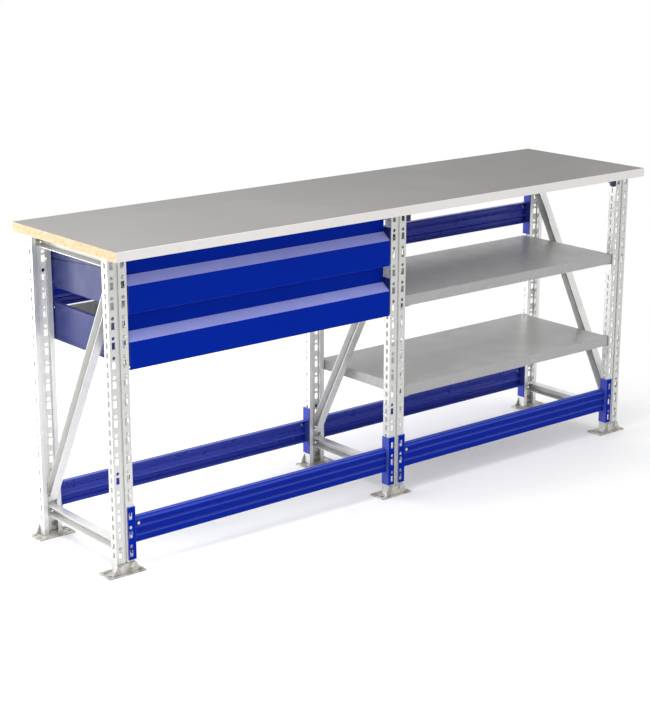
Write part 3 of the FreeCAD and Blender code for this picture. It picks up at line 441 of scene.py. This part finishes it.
def solid_boxes(node):
    """Lowest and highest corner of every separate solid of a CAD sub-part."""
    mesh = bmesh.new()
    mesh.from_mesh(frame["nodes"][node].data)
    bmesh.ops.remove_doubles(mesh, verts=mesh.verts, dist=0.01 * MM)
    left = set(mesh.verts)
    boxes = []
    for start in mesh.verts:
        if start not in left:
            continue
        left.discard(start)
        reached = [start]
        for vertex in reached:
            for edge in vertex.link_edges:
                other = edge.other_vert(vertex)
                if other in left:
                    left.discard(other)
                    reached.append(other)
        corners = [[v.co[axis] for v in reached] for axis in range(3)]
        boxes.append((Vector(map(min, corners)), Vector(map(max, corners))))
    mesh.free()
    return boxes


class Turner:
    """Builds round and six-sided shapes along one axis of a growing mesh."""

    def __init__(self):
        self.mesh = bmesh.new()
        self.stand = Matrix.Identity(4)

    def face_along(self, spot, direction):
        """The next shapes start at a spot and grow along a direction."""
        turn = Vector(direction).to_track_quat("Z", "Y").to_matrix().to_4x4()
        self.stand = Matrix.Translation(spot) @ turn

    def ring(self, radius, height, sides):
        spots = [2 * math.pi * n / sides for n in range(sides)]
        return [self.mesh.verts.new(self.stand @ Vector(
            (radius * math.cos(a), radius * math.sin(a), height))) for a in spots]

    def turned(self, profile, sides=20):
        """A closed turned shape through (radius, height) pairs, bottom first."""
        rings = [self.ring(radius, height, sides) for radius, height in profile]
        for low_ring, high_ring in zip(rings, rings[1:]):
            for n in range(sides):
                following = (n + 1) % sides
                self.mesh.faces.new((low_ring[n], low_ring[following],
                                     high_ring[following], high_ring[n]))
        self.mesh.faces.new(list(reversed(rings[0])))
        self.mesh.faces.new(rings[-1])

    def six_sided(self, radius, low, high):
        """Bolt head or nut with chamfered corners."""
        chamfer = (high - low) * 0.16
        self.turned([(radius * 0.88, low), (radius, low + chamfer),
                     (radius, high - chamfer), (radius * 0.88, high)], 6)

    def thread(self, radius, low, high, pitch):
        """A threaded stretch, drawn as closely set ridges."""
        turns = max(2, round((high - low) / pitch))
        step = (high - low) / turns
        profile = []
        for n in range(turns):
            profile.append((radius, low + n * step))
            profile.append((radius - pitch * 0.4, low + (n + 0.5) * step))
        profile.append((radius * 0.86, high))
        self.turned(profile, 14)

    def piece(self, name, finish, body, slot, node=None):
        """Hands the mesh over as one piece that rides on a body."""
        bmesh.ops.recalc_face_normals(self.mesh, faces=self.mesh.faces)
        data = bpy.data.meshes.new(name)
        self.mesh.to_mesh(data)
        self.mesh.free()
        data.materials.append(finish)
        made = bpy.data.objects.new(name, data)
        bpy.context.scene.collection.objects.link(made)
        data.shade_smooth()
        data.set_sharp_from_angle(angle=math.radians(35))
        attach(made, body)
        if node:
            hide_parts(node)


def middle_of(box):
    return (box[0] + box[1]) / 2


def make_foot_bolts():
    """Hexagon bolts with washers, nuts and a little thread showing."""
    shank = 4.0 * MM
    nut = 4.4 * MM
    wall = 10.3 * MM
    thread_out = 0.9 * MM
    washer = 1.2 * MM
    bolts = Turner()
    for box in solid_boxes("foot_bolts"):
        centre = middle_of(box)
        outward = -1 if centre.y < 0 else 1
        length = box[1].y - box[0].y
        radius = (box[1].x - box[0].x) / 2
        centre.y -= outward * length / 2
        bolts.face_along(centre, (0, outward, 0))
        bolts.thread(shank, 0.0, nut + thread_out, 1.25 * MM)
        bolts.six_sided(radius, thread_out, nut + thread_out)
        bolts.turned([(shank, nut), (shank, wall + 1.0 * MM)])
        bolts.turned([(radius * 1.12, wall), (radius * 1.15, wall + 0.3 * MM),
                      (radius * 1.15, wall + 1.0 * MM), (radius * 1.1, wall + washer)], 28)
        bolts.six_sided(radius, wall + washer, length)
    bolts.piece("foot_bolt_set", FINISHES["zinc_fastener"], "bench", "zinc_fastener", "foot_bolts")


def socket_head(turner, radius, low, high):
    """Low domed head with a round socket."""
    rim = 0.45 * (high - low) + low
    turner.turned([
        (radius * 0.98, low), (radius, low + (rim - low) * 0.6), (radius * 0.94, rim),
        (radius * 0.74, high - (high - rim) * 0.25), (radius * 0.52, high),
        (radius * 0.46, high), (radius * 0.44, rim - (rim - low) * 0.4)], 18)


def make_side_plate_bolts():
    """Button-head bolts, each with a nut; the rear ones have a spacer behind the plate."""
    shank = 3.0 * MM
    nut = 5.0 * MM
    head_height = 2.8 * MM
    shortest_bolt = 11.3 * MM
    bolts = Turner()
    bay_centre = middle_of(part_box("upper_drawer_tray")).x
    for box in solid_boxes("side_plate_bolts"):
        centre = middle_of(box)
        inward = 1 if centre.x < bay_centre else -1
        length = box[1].x - box[0].x
        radius = (box[1].y - box[0].y) / 2
        centre.x -= inward * length / 2
        bolts.face_along(centre, (inward, 0, 0))
        head = length - head_height
        bolts.thread(shank, 0.0, nut, 1.0 * MM)
        bolts.six_sided(radius, 0.6 * MM, nut)
        bolts.turned([(shank, nut), (shank, head)], 14)
        spacer = length - shortest_bolt
        if spacer > MM:
            bolts.turned([(radius, nut + 2.0 * MM), (radius, nut + 2.0 * MM + spacer)])
        socket_head(bolts, radius, head, length)
    bolts.piece("side_plate_bolt_set", FINISHES["zinc_fastener"], "bench", "zinc_fastener",
                "side_plate_bolts")


def make_worktop_screws():
    """Pan-head screws with a recess, and a thread with a tapering tip in the board."""
    tip = 2.0 * MM
    head_height = 2.5 * MM
    screws = Turner()
    for box in solid_boxes("worktop_screws"):
        spot = middle_of(box)
        spot.z = box[1].z
        screws.face_along(spot, (0, 0, -1))
        length = box[1].z - box[0].z
        radius = (box[1].x - box[0].x) / 2
        head = length - head_height
        screws.thread(2.4 * MM, tip, head, 1.8 * MM)
        screws.turned([(0.3 * MM, 0.0), (2.2 * MM, tip)], 14)
        socket_head(screws, radius, head, length)
    screws.piece("worktop_screw_set", FINISHES["zinc_fastener"], "bench", "zinc_fastener",
                 "worktop_screws")


def make_lock_pins():
    """Mushroom-headed pins that lock the beams."""
    shank = 3.4 * MM
    head_height = 2.0 * MM
    pins = Turner()
    for box in solid_boxes("beam_lock_pins"):
        centre = middle_of(box)
        outward = -1 if centre.y < 0 else 1
        length = box[1].y - box[0].y
        radius = (box[1].x - box[0].x) / 2
        centre.y -= outward * length / 2
        pins.face_along(centre, (0, outward, 0))
        collar = length - head_height
        pins.turned([
            (2.6 * MM, 0.0), (shank, 0.8 * MM), (shank, collar), (radius, collar),
            (radius, collar + 0.7 * MM), (radius * 0.9, collar + 1.3 * MM),
            (radius * 0.6, collar + 1.8 * MM), (radius * 0.2, length)], 24)
    pins.piece("lock_pin_set", FINISHES["zinc_fastener"], "bench", "zinc_fastener",
               "beam_lock_pins")


def make_brace_pins():
    """Flush cross pins with chamfered, centre-drilled ends."""
    chamfer = 0.5 * MM
    pins = Turner()
    for box in solid_boxes("brace_pins"):
        centre = middle_of(box)
        length = box[1].x - box[0].x
        radius = (box[1].y - box[0].y) / 2
        centre.x -= length / 2
        pins.face_along(centre, (1, 0, 0))
        end = [(0.6 * MM, 1.2 * MM), (1.4 * MM, 0.0),
               (radius - chamfer, 0.0), (radius, chamfer)]
        pins.turned(end + [(r, length - h) for r, h in reversed(end)], 20)
    pins.piece("brace_pin_set", FINISHES["zinc_fastener"], "bench", "zinc_fastener", "brace_pins")


def make_beam_welds():
    """Short rippled beads where each beam meets its connectors, on the flats between ribs."""
    flats = ((2.5 * MM, 13.5 * MM), (27.0 * MM, 36.5 * MM), (50.0 * MM, 56.5 * MM))
    ripple = 1.6 * MM
    crest = 1.5 * MM
    trough = 1.15 * MM
    tail = 0.5 * MM
    beads = Turner()
    for node in sorted(frame["nodes"]):
        if not node.endswith("_beam"):
            continue
        low_corner, high_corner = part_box(node)
        face = low_corner.y if "front" in node else high_corner.y
        for end in (low_corner.x, high_corner.x):
            for start, stop in flats:
                beads.face_along((end, face, low_corner.z + start), (0, 0, 1))
                steps = 2 * round((stop - start) / ripple) + 1
                rise = (stop - start) / (steps - 1)
                profile = [(crest if n % 2 else trough, n * rise) for n in range(steps)]
                profile[0] = (tail, 0.0)
                profile[-1] = (tail, stop - start)
                beads.turned(profile, 12)
    beads.piece("beam_welds", FINISHES["blue_powder_coat"], "bench", "blue_powder_coat")


def make_slide_balls(drawer):
    """Rows of balls in a drawer's slides, which travel with the middle members."""
    member_wall = 1.2 * MM
    play = 0.05 * MM
    gap = 0.03 * MM
    spacing = 9 * MM
    front_margin = 20 * MM
    rear_margin = 15 * MM
    slices = 8
    balls = Turner()
    for low_corner, high_corner in solid_boxes(f"{drawer}_drawer_middle_members"):
        fixed_low, fixed_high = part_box(f"{drawer}_drawer_fixed_rails")
        rise = (fixed_high.z - fixed_low.z - (high_corner.z - low_corner.z)) / 2
        radius = (rise - member_wall) / 2 - play
        across = (low_corner.x + high_corner.x) / 2
        angles = [math.pi * n / slices for n in range(1, slices)]
        profile = [(radius * math.sin(a), radius * (1 - math.cos(a))) for a in angles]
        for level in (low_corner.z - radius - gap, high_corner.z + radius + gap):
            along = low_corner.y + front_margin
            while along < high_corner.y - rear_margin:
                balls.face_along((across, along, level - radius), (0, 0, 1))
                balls.turned(profile, 10)
                along += spacing
    balls.piece(f"{drawer}_slide_balls", FINISHES["slide_steel"], f"{drawer}_slide_middles",
                "slide_steel")


# ---------------------------------------------------------------- studio


def make_studio():
    """Pale floor that fades out, soft light all round, and panels left, behind and overhead."""
    floor_mesh = bpy.data.meshes.new("studio_floor")
    half = 6.0
    corners = [(-half, -half, 0), (half, -half, 0), (half, half, 0), (-half, half, 0)]
    floor_mesh.from_pydata(corners, [], [(0, 1, 2, 3)])
    floor = bpy.data.objects.new("studio_floor", floor_mesh)
    bpy.context.scene.collection.objects.link(floor)
    finish = Finish("studio_floor", {"Specular IOR Level": 0.1})
    haze = finish.noise(0.7, 2.0)
    white = finish.blend(haze, tint(248, 248, 248), tint(251, 251, 251))
    reach = finish.node("VectorMath", {"operation": "LENGTH"}, {0: finish.place}, "Value")
    solid_reach, clear_reach = 1.0, 2.4
    fade = finish.between(reach, solid_reach, clear_reach, 1.0, 0.0)
    floor_mesh.materials.append(
        finish.finished(Base_Color=white, Roughness=haze * 0.1 + 0.8, Alpha=fade))

    world = bpy.data.worlds.new("studio")
    world.use_nodes = True
    sky = world.node_tree.nodes["Background"]
    sky.inputs["Color"].default_value = (1.0, 1.0, 1.0, 1.0)
    sky.inputs["Strength"].default_value = 1.0
    bpy.context.scene.world = world

    light_panel("left_panel", (-2.5, 1.75, 0.72), (-0.6, 0.0, 0.5), 1.4, 38.0)
    light_panel("rear_panel", (-0.9, 1.9, 0.8), (0.9, 0.0, 0.45), 1.1, 22.0)
    light_panel("overhead_panel", (-1.3, -0.2, 2.3), (-1.1, -0.1, 0.85), 1.2, 34.0)


def light_panel(name, spot, target, side, power):
    light = bpy.data.lights.new(name, "AREA")
    light.shape = "SQUARE"
    light.size = side
    light.energy = power
    lamp = bpy.data.objects.new(name, light)
    lamp.location = spot
    lamp.visible_camera = False
    lamp.rotation_euler = (Vector(target) - Vector(spot)).to_track_quat("-Z", "Y").to_euler()
    bpy.context.scene.collection.objects.link(lamp)


def make_camera():
    """Three-quarter view from the left front, a little above the worktop."""
    data = bpy.data.cameras.new("camera")
    data.sensor_width = 36.0
    data.lens = 87.26
    data.shift_x = 0.0083
    data.shift_y = 0.0014
    data.clip_end = 200.0
    camera = bpy.data.objects.new("camera", data)
    yaw = math.radians(39.2975)
    pitch = math.radians(15.8796)
    camera.location = (-3.146, -3.689, 1.7369)
    camera.rotation_euler = (math.pi / 2 - pitch, 0.0, -yaw)
    bpy.context.scene.collection.objects.link(camera)
    bpy.context.scene.camera = camera
    bpy.context.scene.view_settings.view_transform = "Standard"


make_camera()
make_studio()
paint_nodes()
soften_all()
make_foot_bolts()
make_side_plate_bolts()
make_worktop_screws()
make_lock_pins()
make_brace_pins()
make_beam_welds()
make_slide_balls("upper")
make_slide_balls("lower")
